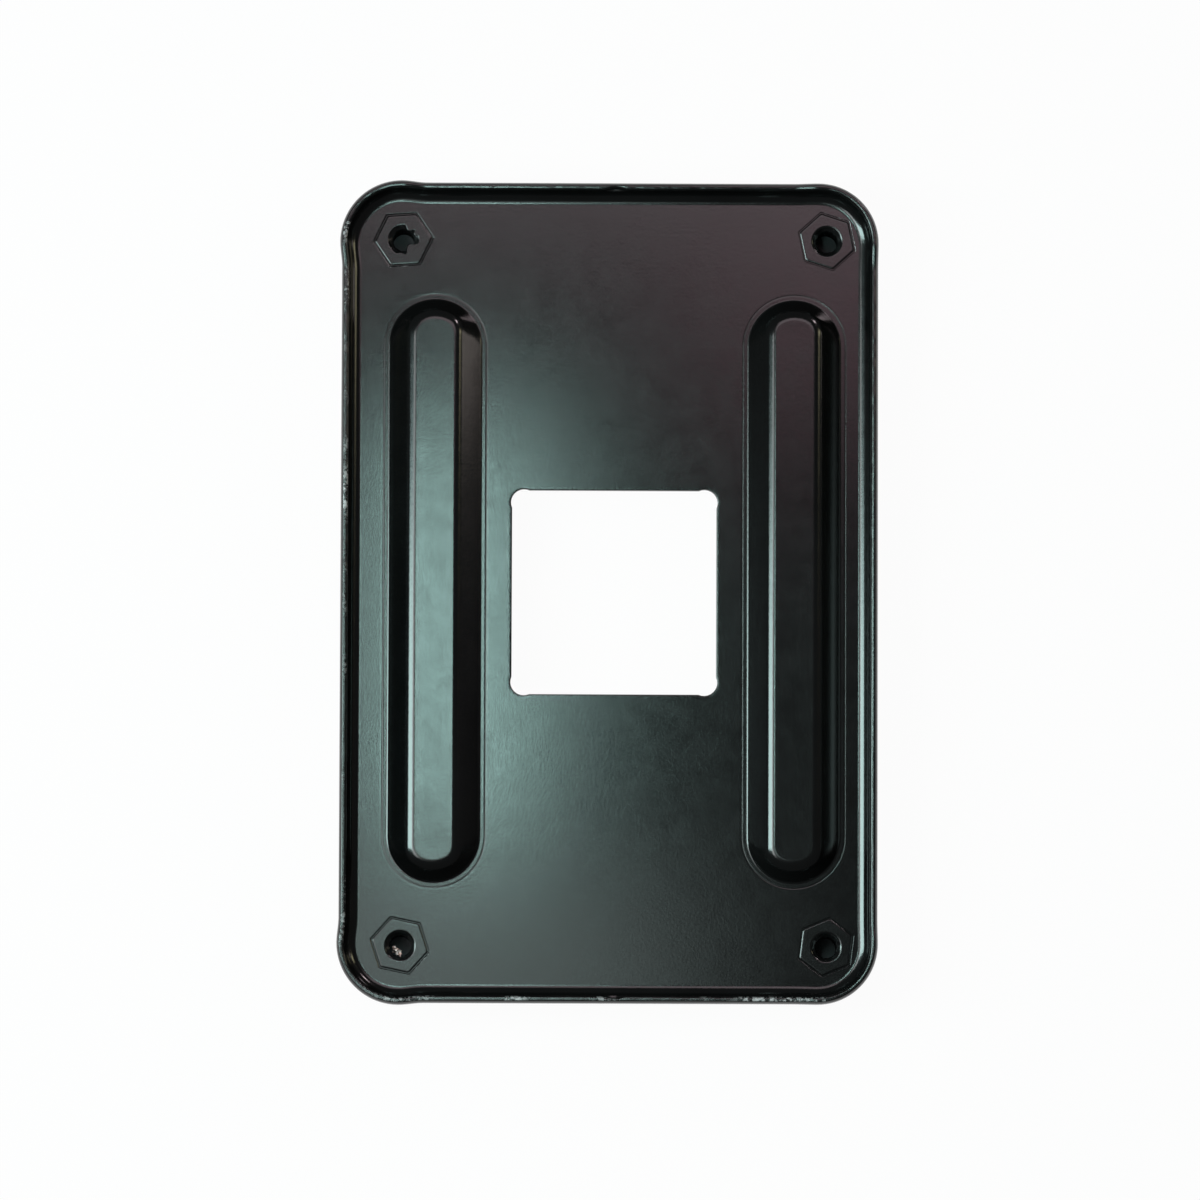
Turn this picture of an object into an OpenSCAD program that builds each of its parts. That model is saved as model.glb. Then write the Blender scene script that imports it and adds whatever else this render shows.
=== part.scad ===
// Backplate for a processor cooler: a stamped steel tray with an upturned rim, two long
// stiffening ribs and a square window, four threaded standoffs pressed in from the tray's
// side, and an insulating sheet on the face that lies against the circuit board.
// X runs along the short side, Y along the long side and +Z points away from the board.
// The origin is the centre of the screw pattern, on the face that touches the board.

/* [Screw pattern] */
// Distance between screw holes along X
hole_pitch_x = 54; // [53:0.1:55]
// Distance between screw holes along Y
hole_pitch_y = 90; // [89:0.1:91]

/* [Plate] */
// Margin from the screw holes out to the plate's long sides, along X
side_margin = 7.1; // [6.8:0.1:9]
// Margin from the screw holes out to the plate's short sides, along Y
end_margin = 7.2; // [6.8:0.1:12]
// Outer radius of the plate's corners
corner_r = 7.6; // [6.6:0.2:9]
// Thickness of the steel sheet
sheet_t = 1; // [0.8:0.05:1.2]
// Shift of the rim's centre from the screw pattern's centre, along X
rim_shift_x = -0.65; // [-0.8:0.05:0.8]
// Shift of the rim's centre from the screw pattern's centre, along Y
rim_shift_y = -0.15; // [-0.8:0.05:0.8]

/* [Rim] */
// Height of the rim above the tray's floor
rim_h = 3.2; // [2.8:0.1:5]
// Inside radius of the bend from the floor to the rim
bend_r = 1.5; // [1:0.1:2]
// Radius that rounds the rim's outer top edge
lip_r = 0.25; // [0.1:0.05:0.4]
// How much higher the drawn corners stand than the straight sides
corner_rise = 0.25; // [0.05:0.05:0.6]
// How far the two left corners stand out past the straight sides
bulge_left = 0.25; // [0.05:0.05:0.4]
// How far the two right corners stand out past the straight sides
bulge_right = 0.05; // [0.05:0.05:0.4]
// Length of the nick that the tie bar leaves at the middle of each short side
nick_l = 2.8; // [1.5:0.1:5]
// Depth of the nick into the rim's inner face
nick_d = 0.25; // [0.1:0.05:0.4]
// Height of the nick, down from the rim's top edge
nick_h = 0.9; // [0.4:0.1:1.2]

/* [Window] */
// Side of the square window
window_w = 26; // [20:0.5:30]
// Radius in the window's corners
window_r = 1.7; // [1:0.1:3]
// How far each corner arc is cut out past the window's sides
window_relief = 0.15; // [0.05:0.05:0.3]

/* [Ribs] */
// Distance from the screw holes in to the ribs' ends, along Y
rib_end_gap = 7.7; // [6.5:0.1:15]
// Distance from the screw holes in to the ribs' centre lines, along X
rib_inboard = 4.15; // [3.5:0.05:6]
// Width of a rib at its foot
rib_w = 12; // [11:0.1:13]
// Height of a rib above the tray's floor
rib_h = 2.7; // [2:0.1:2.8]
// Shift of the ribs' middle from the screw pattern's centre, along Y
rib_shift_y = 0.2; // [-1:0.1:1]
// Slope of a rib's long walls
side_angle = 45; // [40:1:50]
// Slope of a rib's end walls
end_angle = 60; // [52:1:64]
// Radius along the crest of the long walls, on the upper face
side_crest_r = 2; // [1.4:0.1:2.2]
// Radius along the crest of the end walls, on the upper face
end_crest_r = 1.5; // [1.4:0.1:1.7]
// Radius where a rib's walls meet the floor, on the upper face
rib_foot_r = 0.4; // [0.2:0.05:0.6]

/* [Standoffs] */
// Width of the hexagonal head across its flats
head_af = 6.35; // [6:0.05:6.8]
// Thickness of the hexagonal head
head_t = 0.7; // [0.5:0.05:0.75]
// Diameter of the barrel
barrel_d = 5.4; // [5:0.05:5.8]
// Length of the barrel beyond the face that touches the board
barrel_reach = 6; // [4:0.1:8]
// Bevel on the barrel's end
tip_bevel = 0.3; // [0.1:0.05:0.5]
// Diameter of the threaded hole inside its thread
thread_d = 2.8; // [2.6:0.05:3]
// Diameter of the countersink at each mouth of the threaded hole
mouth_d = 3.8; // [3.4:0.1:4.2]
// Depth of the countersink at each mouth
mouth_depth = 0.5; // [0.3:0.05:0.8]
// Gap between a standoff's pressed-in faces and the plate
press_gap = 0.01; // [0.005:0.005:0.02]
// Width of the groove that shows around each head
groove_w = 0.15; // [0.05:0.05:0.3]
// Depth of the groove around each head
groove_d = 0.12; // [0.05:0.01:0.2]
// Turn of the rear left head, as a corner's angle from +X
turn_rear_left = 4; // [-30:1:30]
// Turn of the rear right head
turn_rear_right = -18; // [-30:1:30]
// Turn of the front left head
turn_front_left = -12; // [-30:1:30]
// Turn of the front right head
turn_front_right = 23; // [-30:1:30]

/* [Insulating sheet] */
// Thickness of the insulating sheet
film_t = 0.4; // [0.2:0.05:0.6]
// Margin between the insulating sheet and the start of the plate's bend
film_margin = 0.3; // [0.1:0.1:0.5]
// Gap between the insulating sheet and each barrel
film_barrel_gap = 0.25; // [0.1:0.05:0.4]
// Gap between the insulating sheet's edge and the window and ribs
film_edge_gap = 0.5; // [0.3:0.1:1]

/* [Hidden] */
$fn = 96;

steel_colour = [0.10, 0.11, 0.11];
standoff_colour = [0.17, 0.18, 0.18];
film_colour = [0.05, 0.05, 0.055];

// How far cutters run past the faces that they cut
over = 0.5;

// How far a rounding circle bites past the faces that it blends, so that it crosses them
// and leaves no sliver between
bite = 0.0002;

// Heights, from the board's face upwards
plate_z = film_t;
floor_z = plate_z + sheet_t;

// The bend's outer radius, and the depth that a joined piece sinks into the sheet
bend_outer_r = bend_r + sheet_t;
sink = sheet_t / 2;

// Size of the plate over its rim
plate_w = hole_pitch_x + 2 * side_margin;
plate_l = hole_pitch_y + 2 * end_margin;

// The rim's outer sides, and the centres of its corners
rim_x = [rim_shift_x - plate_w / 2, rim_shift_x + plate_w / 2];
rim_y = [rim_shift_y - plate_l / 2, rim_shift_y + plate_l / 2];
corner_x = [rim_x[0] + corner_r, rim_x[1] - corner_r];
corner_y = [rim_y[0] + corner_r, rim_y[1] - corner_r];
bulges = [bulge_left, bulge_right];

// Length of a rib at its foot, and half of its straight stretch between its round ends
rib_l = hole_pitch_y - 2 * rib_end_gap;
rib_straight = rib_l / 2 - rib_w / 2;

// The nick is a shallow arc with this radius, from its length and depth
nick_r = (nick_l * nick_l / 4 + nick_d * nick_d) / (2 * nick_d);

// The head is a hexagonal prism, drawn by the circle through its corners
head_r = head_af / sqrt(3);
groove_r = (head_af + 2 * groove_w) / sqrt(3);
pocket_r = (head_af + 2 * press_gap) / sqrt(3);

// Section of the bent sheet, with x = 0 at the rim's outer face and y = 0 at the sheet's
// lower face. rise is how much higher it stands than the straight sides.
module rim_section(rise) {
    top = sheet_t + rim_h + rise;
    difference() {
        union() {
            intersection() {
                translate([-bend_outer_r, bend_outer_r])
                    circle(bend_outer_r);
                translate([-bend_outer_r, 0])
                    square(bend_outer_r);
            }
            translate([-sheet_t, bend_outer_r])
                square([sheet_t, top - lip_r - bend_outer_r]);
            translate([-sheet_t, top - lip_r - over])
                square([sheet_t - lip_r, lip_r + over]);
            translate([-lip_r, top - lip_r])
                circle(lip_r);
            translate([-bend_outer_r - sink, 0])
                square([sink, sheet_t]);
        }
        translate([-bend_outer_r, bend_outer_r])
            circle(bend_r);
    }
}

// A straight run of the rim between two corners, along +Y, with its outer face at x = 0
module rim_run(length) {
    translate([0, length / 2, 0])
        rotate([90, 0, 0])
            linear_extrude(length)
                rim_section(0);
}

// A drawn corner, with its centre at the origin and its quarter between +X and +Y
module rim_corner(bulge) {
    rotate_extrude(angle = 90)
        translate([corner_r + bulge, 0])
            rim_section(corner_rise);
}

// Quarter of the floor inside a drawn corner, between +X and +Y
module corner_floor(bulge) {
    floor_r = corner_r + bulge - bend_outer_r;
    intersection() {
        circle(floor_r);
        square(floor_r);
    }
}

// Places its children at one corner of the rim, turned to that corner's quarter
module at_corner(right, rear) {
    turn = right == 1 ? (rear == 1 ? 0 : -90) : (rear == 1 ? 90 : 180);
    translate([corner_x[right], corner_y[rear]])
        rotate(turn)
            children();
}

// The flat floor, up to where the bend starts
module floor_sheet() {
    low_x = rim_x[0] + bend_outer_r;
    high_x = rim_x[1] - bend_outer_r;
    low_y = rim_y[0] + bend_outer_r;
    high_y = rim_y[1] - bend_outer_r;
    linear_extrude(sheet_t)
        union() {
            translate([low_x, corner_y[0]])
                square([high_x - low_x, corner_y[1] - corner_y[0]]);
            translate([corner_x[0], low_y])
                square([corner_x[1] - corner_x[0], high_y - low_y]);
            for (right = [0, 1], rear = [0, 1])
                at_corner(right, rear)
                    corner_floor(bulges[right]);
        }
}

// The sheet with its rim, before the ribs and the holes
module tray() {
    run_x = corner_x[1] - corner_x[0];
    run_y = corner_y[1] - corner_y[0];
    floor_sheet();
    translate([rim_x[1], rim_shift_y, 0])
        rim_run(run_y);
    translate([rim_x[0], rim_shift_y, 0])
        rotate(180)
            rim_run(run_y);
    translate([rim_shift_x, rim_y[1], 0])
        rotate(90)
            rim_run(run_x);
    translate([rim_shift_x, rim_y[0], 0])
        rotate(-90)
            rim_run(run_x);
    for (right = [0, 1], rear = [0, 1])
        at_corner(right, rear)
            rim_corner(bulges[right]);
}

// Half of a rib's section, from its centre line out to its foot, over a floor at y = 0.
// below is how far the section reaches under that floor.
module rib_half_section(angle, crest_r, foot_r, below) {
    half = tan(angle / 2);
    foot_x = rib_w / 2 - foot_r * half;
    crest_x = foot_x - rib_h / tan(angle);
    wall_foot = [foot_x - foot_r * half * cos(angle), foot_r * half * sin(angle)];
    wall_crest = [crest_x + crest_r * half * cos(angle), rib_h - crest_r * half * sin(angle)];
    flat_crest = [crest_x - crest_r * half, rib_h];
    difference() {
        union() {
            polygon([
                [0, -below],
                [rib_w / 2, -below],
                [rib_w / 2, 0],
                wall_foot,
                wall_crest,
                flat_crest,
                [0, rib_h]
            ]);
            intersection() {
                translate([flat_crest[0], rib_h - crest_r])
                    circle(crest_r + bite);
                translate([flat_crest[0] - crest_r / 2, wall_crest[1] - crest_r / 2])
                    square(2 * crest_r);
            }
        }
        translate([rib_w / 2, foot_r])
            circle(foot_r + bite);
    }
}

// One face of a rib over a floor at z = 0. The long walls' section runs the whole length,
// and the steeper round ends cut it off. inset is the sheet's thickness for the lower face.
module rib_form(inset, below) {
    intersection() {
        translate([0, rib_l / 2, 0])
            rotate([90, 0, 0])
                linear_extrude(rib_l)
                    union() {
                        rib_half_section(side_angle, side_crest_r - inset, rib_foot_r + inset, below);
                        mirror([1, 0])
                            rib_half_section(side_angle, side_crest_r - inset, rib_foot_r + inset, below);
                    }
        union() {
            translate([-rib_w / 2 - over, -rib_straight, -below])
                cube([rib_w + 2 * over, 2 * rib_straight, rib_h + below]);
            for (side = [0, 1])
                rotate(180 * side)
                    translate([0, rib_straight, 0])
                        rotate_extrude(angle = 180)
                            rib_half_section(end_angle, end_crest_r - inset, rib_foot_r + inset, below);
        }
    }
}

// Places its children on the two ribs' centres
module at_ribs() {
    for (side = [-1, 1])
        translate([side * (hole_pitch_x / 2 - rib_inboard), rib_shift_y, 0])
            children();
}

// A square with arcs of radius corner in its corners, which reach relief past its sides
module eased_square(side, corner, relief) {
    reach = side / 2 - corner + relief;
    union() {
        square([side, side - 2 * corner], center = true);
        square([side - 2 * corner, side], center = true);
        for (a = [-1, 1], b = [-1, 1])
            translate([a * reach, b * reach])
                circle(corner);
    }
}

// What the press punches for one standoff, with z = 0 at the floor's upper face
module standoff_pocket(turn) {
    rotate(turn) {
        translate([0, 0, -head_t])
            cylinder(h = head_t + over, r = pocket_r, $fn = 6);
        translate([0, 0, -groove_d])
            cylinder(h = groove_d + over, r = groove_r, $fn = 6);
    }
    translate([0, 0, -sheet_t - over])
        cylinder(h = sheet_t + over, d = barrel_d + 2 * press_gap);
}

// The nick in the inner face of the rim, at the middle of a short side that faces +Y
module rim_nick() {
    translate([0, -sheet_t + nick_d - nick_r, sheet_t + rim_h - nick_h])
        cylinder(h = nick_h + over, r = nick_r);
}

// Places its children at the screw hole on side a of X and side b of Y
module at_hole(a, b) {
    translate([a * hole_pitch_x / 2, b * hole_pitch_y / 2, 0])
        children();
}

module backplate() {
    color(steel_colour)
        translate([0, 0, plate_z])
            difference() {
                union() {
                    tray();
                    translate([0, 0, sheet_t])
                        at_ribs()
                            rib_form(0, sink);
                }
                at_ribs()
                    rib_form(sheet_t, over);
                translate([0, 0, -over])
                    linear_extrude(sheet_t + 2 * over)
                        eased_square(window_w, window_r, window_relief);
                translate([0, 0, sheet_t]) {
                    at_hole(-1, 1)
                        standoff_pocket(turn_rear_left);
                    at_hole(1, 1)
                        standoff_pocket(turn_rear_right);
                    at_hole(-1, -1)
                        standoff_pocket(turn_front_left);
                    at_hole(1, -1)
                        standoff_pocket(turn_front_right);
                }
                translate([0, rim_y[1], 0])
                    rim_nick();
                translate([0, rim_y[0], 0])
                    rotate(180)
                        rim_nick();
            }
}

// A standoff with its head flush with the tray's floor and its axis at the origin
module standoff(turn) {
    bottom = -barrel_reach;
    under_head = floor_z - head_t;
    thread_r = thread_d / 2;
    mouth_r = mouth_d / 2;
    barrel_r = barrel_d / 2;
    difference() {
        union() {
            translate([0, 0, under_head])
                rotate(turn)
                    cylinder(h = head_t, r = head_r, $fn = 6);
            rotate_extrude()
                polygon([
                    [0, bottom],
                    [barrel_r - tip_bevel, bottom],
                    [barrel_r, bottom + tip_bevel],
                    [barrel_r, under_head + head_t / 2],
                    [0, under_head + head_t / 2]
                ]);
        }
        rotate_extrude()
            polygon([
                [0, bottom - over],
                [mouth_r, bottom - over],
                [mouth_r, bottom],
                [thread_r, bottom + mouth_depth],
                [thread_r, floor_z - mouth_depth],
                [mouth_r, floor_z],
                [mouth_r, floor_z + over],
                [0, floor_z + over]
            ]);
    }
}

module standoff_rear_left() {
    color(standoff_colour)
        at_hole(-1, 1)
            standoff(turn_rear_left);
}

module standoff_rear_right() {
    color(standoff_colour)
        at_hole(1, 1)
            standoff(turn_rear_right);
}

module standoff_front_left() {
    color(standoff_colour)
        at_hole(-1, -1)
            standoff(turn_front_left);
}

module standoff_front_right() {
    color(standoff_colour)
        at_hole(1, -1)
            standoff(turn_front_right);
}

// The flat outline that the insulating sheet covers, inside the plate's bend
module film_outline() {
    inset = bend_outer_r + film_margin;
    straight_w = corner_x[1] - corner_x[0];
    straight_l = corner_y[1] - corner_y[0];
    translate([rim_x[0] + inset, corner_y[0]])
        square([plate_w - 2 * inset, straight_l]);
    translate([corner_x[0], rim_y[0] + inset])
        square([straight_w, plate_l - 2 * inset]);
    for (x = corner_x, y = corner_y)
        translate([x, y])
            circle(corner_r - inset);
}

// A slot with round ends along Y, around one rib's hollow
module rib_slot(gap) {
    square([rib_w + 2 * gap, 2 * rib_straight], center = true);
    for (side = [-1, 1])
        translate([0, side * rib_straight])
            circle(rib_w / 2 + gap);
}

module insulating_sheet() {
    color(film_colour)
        linear_extrude(film_t)
            difference() {
                film_outline();
                at_ribs()
                    rib_slot(film_edge_gap);
                eased_square(window_w + 2 * film_edge_gap, window_r, window_relief);
                for (a = [-1, 1], b = [-1, 1])
                    at_hole(a, b)
                        circle(barrel_d / 2 + film_barrel_gap);
            }
}

backplate();
standoff_rear_left();
standoff_rear_right();
standoff_front_left();
standoff_front_right();
insulating_sheet();
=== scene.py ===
"""Looks of a stamped processor cooler backplate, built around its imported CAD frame.

Meshes are worked out in millimetres and scaled to metres when each one is made.
+X runs along the short side, +Y along the long side and +Z away from the circuit board.
"""

import math

import bmesh
import bpy
import numpy as np
from mathutils import Matrix, Vector
from mathutils.geometry import delaunay_2d_cdt


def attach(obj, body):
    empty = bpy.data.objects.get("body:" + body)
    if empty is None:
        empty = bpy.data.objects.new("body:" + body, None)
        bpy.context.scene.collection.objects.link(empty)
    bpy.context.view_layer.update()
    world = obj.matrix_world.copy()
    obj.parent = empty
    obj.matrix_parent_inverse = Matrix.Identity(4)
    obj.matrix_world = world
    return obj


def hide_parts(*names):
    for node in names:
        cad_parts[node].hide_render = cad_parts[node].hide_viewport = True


MM = 0.001

# Heights, from the face that lies against the circuit board
SHEET_T = 1.0
UNDER_Z = 0.4
FLOOR_Z = UNDER_Z + SHEET_T

# Rim
PLATE_W, PLATE_L = 68.2, 104.4
RIM_CENTRE = (-0.65, -0.15)
CORNER_R = 7.6
RIM_H = 3.2
BEND_R = 1.5
BEND_STEPS = 10
CORNER_RISE = 0.25
BULGE_LEFT, BULGE_RIGHT = 0.25, 0.05
BULGE_EASE = 3.2
WALL_SHARES = (0.3, 0.7, 1.0)

# The lip's section, from inside to outside: distance from the outer face and drop from the top
LIP_RISE = ((1.0, 0.36), (0.96, 0.25), (0.89, 0.15), (0.79, 0.06))
LIP_INNER_TOP, LIP_OUTER_TOP = (0.7, 0.012), (0.4, 0.006)
LIP_FALL = ((0.33, 0.02), (0.27, 0.08), (0.2, 0.18), (0.12, 0.32), (0.05, 0.5), (0.0, 0.75))
# The lip's ripples: size, random seed and wavelength
LIP_WAVE, LIP_DROP, LIP_TILT = (0.035, 3, 2.2), (0.045, 4, 1.3), (0.009, 5, 0.9)
RIPPLE_SHARES = (1, 0.6, 0.35)
# The coating is rubbed off the lip's top where it faces this way, towards the left lamps, and the bare
# steel there is also a painted highlight
RUBBED_HIGHLIT_TOWARDS, RUBBED_HIGHLIT_LEAST = (-0.8, -0.6), 0.5
# The nick in the middle of each short side
NICK_L, NICK_D, NICK_H = 2.8, 0.25, 0.9
NICK_EASE = 0.06

# Window
WINDOW_W = 26.0
WINDOW_R = 1.7
WINDOW_RELIEF = 0.15
WINDOW_EDGE_R = 0.12
WINDOW_EDGE_ANGLES = (25, 50, 75, 90)
WINDOW_EDGE_EASE = 0.04
WINDOW_MARGIN_ABOVE, WINDOW_MARGIN_BELOW = 0.45, 0.35

# Ribs
RIB_X = 22.85
RIB_SHIFT_Y = 0.2
RIB_L, RIB_W, RIB_H = 74.6, 12.0, 2.7
SIDE_ANGLE, END_ANGLE = math.radians(43.5), math.radians(60)
SIDE_CREST_R, END_CREST_R = 1.6, 1.9
FOOT_R = 0.4
HOLLOW_SIDE_R, HOLLOW_END_R = 1.0, 0.5
RIB_ARC_STEPS, RIB_STRAIGHT_STEPS = 20, 14
# How far the corner between a rib's side and its round end is softened
SOFT_DEG, SOFT_SHARE, SOFT_STEPS = 16, 0.6, 4
# The crease pressed round each rib's foot: distance outside the foot line and height
RIB_CREASE = (
    (0.95, 0), (0.64, 0), (0.6, -0.004), (0.57, -0.015), (0.52, -0.015),
    (0.49, -0.006), (0.45, 0), (0.3, 0.002), (0.0, 0.0),
)
# Heights of the rings up a rib's wall, closer together where it curves
RIB_LEVELS = (
    0.004, 0.016, 0.036, 0.066, 0.105, 0.15, 0.2, 0.5, 0.9, 1.3, 1.65,
    1.95, 2.1, 2.24, 2.36, 2.46, 2.54, 2.6, 2.645, 2.675, 2.692, 2.699,
)
HOLLOW_LEVELS = (
    0.0, 0.01, 0.05, 0.12, 0.24, 0.4, 0.55, 0.7, 1.1,
    1.6, 2.1, 2.3, 2.4, 2.5, 2.6, 2.66, 2.695, RIB_H,
)
HOLLOW_MARGIN = 0.4
# The crest sinks by this much towards its middle, in rings at these shares of its half width
RIB_CROWN = -0.006
CREST_SHARES = (0.0, 0.12, 0.28, 0.44, 0.6, 0.76, 0.9)

# Screw pattern and standoffs
HOLE_X, HOLE_Y = 27.0, 45.0
HEAD_AF = 6.35
HEAD_T = 0.7
HEX_CORNER_R, HEX_CORNER_STEPS = 0.3, 5
# The head's rounded edge: distance outside its flats and height
HEAD_EDGE = ((-0.3, 0), (-0.2, 0), (-0.13, -0.008), (-0.06, -0.035), (-0.015, -0.07), (0, -0.12))
AROUND = 64
BARREL_R = 2.7
BARREL_REACH = 6.0
TIP_BEVEL = 0.3
THREAD_MINOR_R, THREAD_MAJOR_R = 1.38, 1.75
THREAD_PITCH = 0.794
THREAD_ROWS = 12
THREAD_CREST, THREAD_FLANK = 0.12, 0.72
MOUTH_R, MOUTH_DEPTH = 1.9, 0.5
# The mouth's rounded edge: distance outside its radius and height
MOUTH_EDGE = ((0.16, 0), (0.06, -0.01), (0.0, -0.04))
MOUTH_LAND = 0.03
BORE_TOP = 0.06
# Coating that has run into the rear left hole: direction and half width in degrees, and share closed
CLOGS = ((-48, 26, 0.5), (62, 15, 0.28), (28, 9, 0.2), (-100, 12, 0.12))
# The underside of that coating: distance inside the mouth's radius and depth
CLOG_EDGE, CLOG_UNDER, CLOGGED_BORE_TOP = (0.1, 0.16), (0.18, 0.22), 0.26
GROOVE_W, GROOVE_D = 0.12, 0.12
GROOVE_EDGE_LEFT, GROOVE_EDGE_RIGHT = 0.16, 0.1
# The groove's outer edge: share of its width and height
GROOVE_SECTION = ((1.0, 0), (0.7, -0.012), (0.4, -0.04), (0.15, -0.08), (-0.1, -GROOVE_D))
# Bands of the groove's edge that take the rubbed steel, which also makes a painted highlight
GROOVE_WORN_HIGHLIT_BANDS = 2
PRESS_GAP = 0.01
BORE_EDGE, BORE_MARGIN = 0.05, 0.25
STANDOFFS = {
    "standoff_rear_left": (-HOLE_X, HOLE_Y, 4),
    "standoff_rear_right": (HOLE_X, HOLE_Y, -18),
    "standoff_front_left": (-HOLE_X, -HOLE_Y, -12),
    "standoff_front_right": (HOLE_X, -HOLE_Y, 23),
}
# Where the coating is rubbed off round each head, on the sides where the edge catches the light, so it
# is also a painted highlight: direction and half width in degrees
RUBBED_HIGHLIT_SIDES = {
    "standoff_rear_left": ((88, 16), (-90, 26), (-28, 14)),
    "standoff_rear_right": ((55, 12), (30, 12), (-16, 8)),
    "standoff_front_left": ((-42, 30),),
    "standoff_front_right": ((176, 24), (-9, 24)),
}

# Burrs in the front left hole: number, random seed, arc in degrees, distance out, height and size
BURR_COUNT, BURR_SEED = 14, 11
BURR_ARC, BURR_OUT = (195, 285), (0.6, 1.3)
BURR_Z, BURR_SPREAD_Z = -0.7, (-0.4, 0.5)
BURR_SIZE, BURR_FLATTEN, BURR_POINTS = (0.2, 0.36), (1, 1, 0.6), 8

# Coating
BLACK = (0.003, 0.0033, 0.0033)
DARKER, LIGHTER = 0.75, 1.35
PLATE_ROUGH, STANDOFF_ROUGH, WORN_HIGHLIT_ROUGH = 0.145, 0.16, 0.2
COATING_IOR, FILM_IOR = 1.6, 1.45
# Bare steel where the coating is rubbed through, which also serves as a painted highlight
BARE_GREY_HIGHLIGHT = (0.6, 0.6, 0.6, 1)
# The relief's layers, waves, grit and orange peel: noise scale, noise roughness, depth and strength
RELIEF = ((260, 0.5, 0.00004, 0.1), (2800, 0.6, 0.00001, 0.5), (9000, 0.6, 0.000006, 0.5))

# Camera, from the places of the screw holes, the rim and the window in the photograph
PHOTO_SIZE = 1200
PIXELS_PER_MM = 7.866
CAMERA_TILT = (-4.49, 0.36, -0.23)
CAMERA_SEAT = (-1.79, -0.97, 1200.0)
SENSOR_W = 36.0
CLIP = (0.05, 20.0)

# Studio, in metres
FLOOR_HALF = 4.0
FLOOR_GLOW = 0.96
# Painted shade: the darker grey that the floor is painted under the barrels' ends
UNDER_BARREL_PAINTED_SHADE = (0.2, 0.2, 0.21, 1)
WORLD_GREY = (0.06, 0.06, 0.062, 1)
# Lamps at the sides: name, place, target, size, brightness of the face and colour
SIDE_LAMPS = (
    ("left_light", (-0.31, -0.013, 0.32), (0, 0), (0.12, 0.285), 12.0, (0.72, 1.0, 0.98)),
    ("right_light", (0.42, 0.125, 0.24), (0, 0), (0.07, 0.16), 3.4, (1.0, 0.92, 0.58)),
    ("corner_light", (0.29, 0.32, 0.24), (0, 0), (0.07, 0.07), 15.0, (1.0, 0.84, 0.88)),
    ("low_light", (0.45, 0.098, 0.045), (0, 0.02), (0.05, 0.08), 2.0, (1.0, 0.9, 0.83)),
)
# Lamps overhead, with their height above the plate's floor. They face straight down
OVERHEAD_LAMPS = (
    ("overhead_light", (-0.0225, 0.018, 0.314), (0.015, 0.068), 16.6, (0.63, 1.0, 0.94)),
    ("left_overhead_light", (-0.188, -0.043, 0.294), (0.343, 0.188), 0.2, (0.92, 1.0, 0.99)),
    ("left_edge_light", (-0.125, -0.02, 0.3), (0.085, 0.19), 4.2, (0.95, 1.0, 1.0)),
    ("back_light", (0.03, 0.184, 0.475), (0.24, 0.159), 1.6, (1.0, 0.83, 0.89)),
    ("rose_light", (0.046, 0.10, 0.475), (0.055, 0.06), 1.1, (1.0, 0.55, 0.67)),
    ("front_light", (-0.028, -0.044, 0.3), (0.08, 0.046), 1.55, (0.82, 1.0, 0.97)),
)

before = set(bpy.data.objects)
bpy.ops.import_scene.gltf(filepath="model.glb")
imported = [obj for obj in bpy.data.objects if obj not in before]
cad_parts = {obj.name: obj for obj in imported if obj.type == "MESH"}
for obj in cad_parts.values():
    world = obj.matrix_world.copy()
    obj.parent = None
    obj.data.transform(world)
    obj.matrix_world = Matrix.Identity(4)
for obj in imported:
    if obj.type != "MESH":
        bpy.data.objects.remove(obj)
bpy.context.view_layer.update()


# ---------------------------------------------------------------- mesh building


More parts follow.
